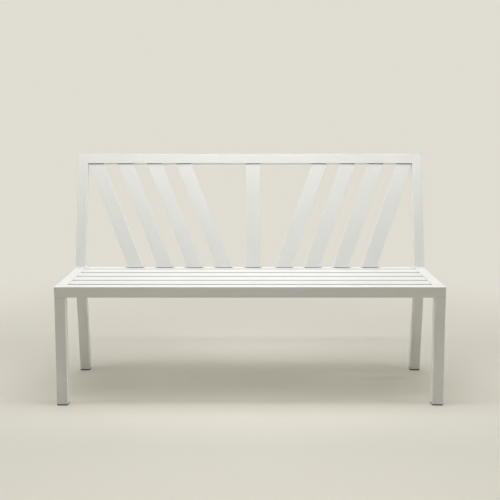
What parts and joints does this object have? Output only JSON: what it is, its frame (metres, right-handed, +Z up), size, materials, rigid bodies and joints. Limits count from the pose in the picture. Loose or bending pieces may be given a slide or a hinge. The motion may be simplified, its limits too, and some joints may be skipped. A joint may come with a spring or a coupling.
{
  "type": "garden bench",
  "caption": "Garden bench of white powder-coated square tube with a slatted seat, raked rear legs and a reclined back whose flat slats lean outwards like a fan.",
  "frame": {"origin": "on the floor, under the middle of the bench's bounding box", "axes": "+X along the bench to the right of someone who looks at its front, +Y from the front to the back, +Z up"},
  "size_m": [1.444, 0.5982, 0.92],
  "materials": {
    "powder_coated_aluminium": "satin powder coat, warm white",
    "plain_aluminium": "mill finish, hidden inside the tubes",
    "stainless_steel": "plain stainless steel",
    "white_plastic": "matte, moulded",
    "grey_plastic": "matte, moulded"
  },
  "bodies": {
    "root": {"back_post_left": "powder_coated_aluminium", "back_post_right": "powder_coated_aluminium", "back_slat_left_1": "powder_coated_aluminium", "back_slat_left_2": "powder_coated_aluminium", "back_slat_left_3": "powder_coated_aluminium", "back_slat_left_4": "powder_coated_aluminium", "back_slat_right_1": "powder_coated_aluminium", "back_slat_right_2": "powder_coated_aluminium", "back_slat_right_3": "powder_coated_aluminium", "back_slat_right_4": "powder_coated_aluminium", "back_slat_upright": "powder_coated_aluminium", "back_top_rail": "powder_coated_aluminium", "cross_bearer_left": "powder_coated_aluminium", "cross_bearer_right": "powder_coated_aluminium", "end_ledge_left": "powder_coated_aluminium", "end_ledge_right": "powder_coated_aluminium", "front_foot_glides": "grey_plastic", "front_leg_left": "powder_coated_aluminium", "front_leg_right": "powder_coated_aluminium", "front_leg_spigots": "plain_aluminium", "front_rail": "powder_coated_aluminium", "left_slat_foot_plugs": "grey_plastic", "left_slat_head_plugs": "grey_plastic", "leg_screws": "stainless_steel", "post_caps": "white_plastic", "post_screws": "stainless_steel", "post_socket_left": "powder_coated_aluminium", "post_socket_right": "powder_coated_aluminium", "rail_end_plugs": "white_plastic", "rear_foot_glides": "grey_plastic", "rear_leg_left": "powder_coated_aluminium", "rear_leg_right": "powder_coated_aluminium", "rear_leg_spigots": "plain_aluminium", "rear_rail": "powder_coated_aluminium", "right_slat_foot_plugs": "grey_plastic", "right_slat_head_plugs": "grey_plastic", "seat_slat_1": "powder_coated_aluminium", "seat_slat_2": "powder_coated_aluminium", "seat_slat_3": "powder_coated_aluminium", "seat_slat_4": "powder_coated_aluminium", "seat_slat_plugs": "white_plastic", "side_rail_left": "powder_coated_aluminium", "side_rail_right": "powder_coated_aluminium", "top_rail_blocks": "plain_aluminium", "top_rail_bolts": "stainless_steel", "upright_slat_foot_plugs": "grey_plastic", "upright_slat_head_plugs": "grey_plastic"}
  },
  "joints": []
}
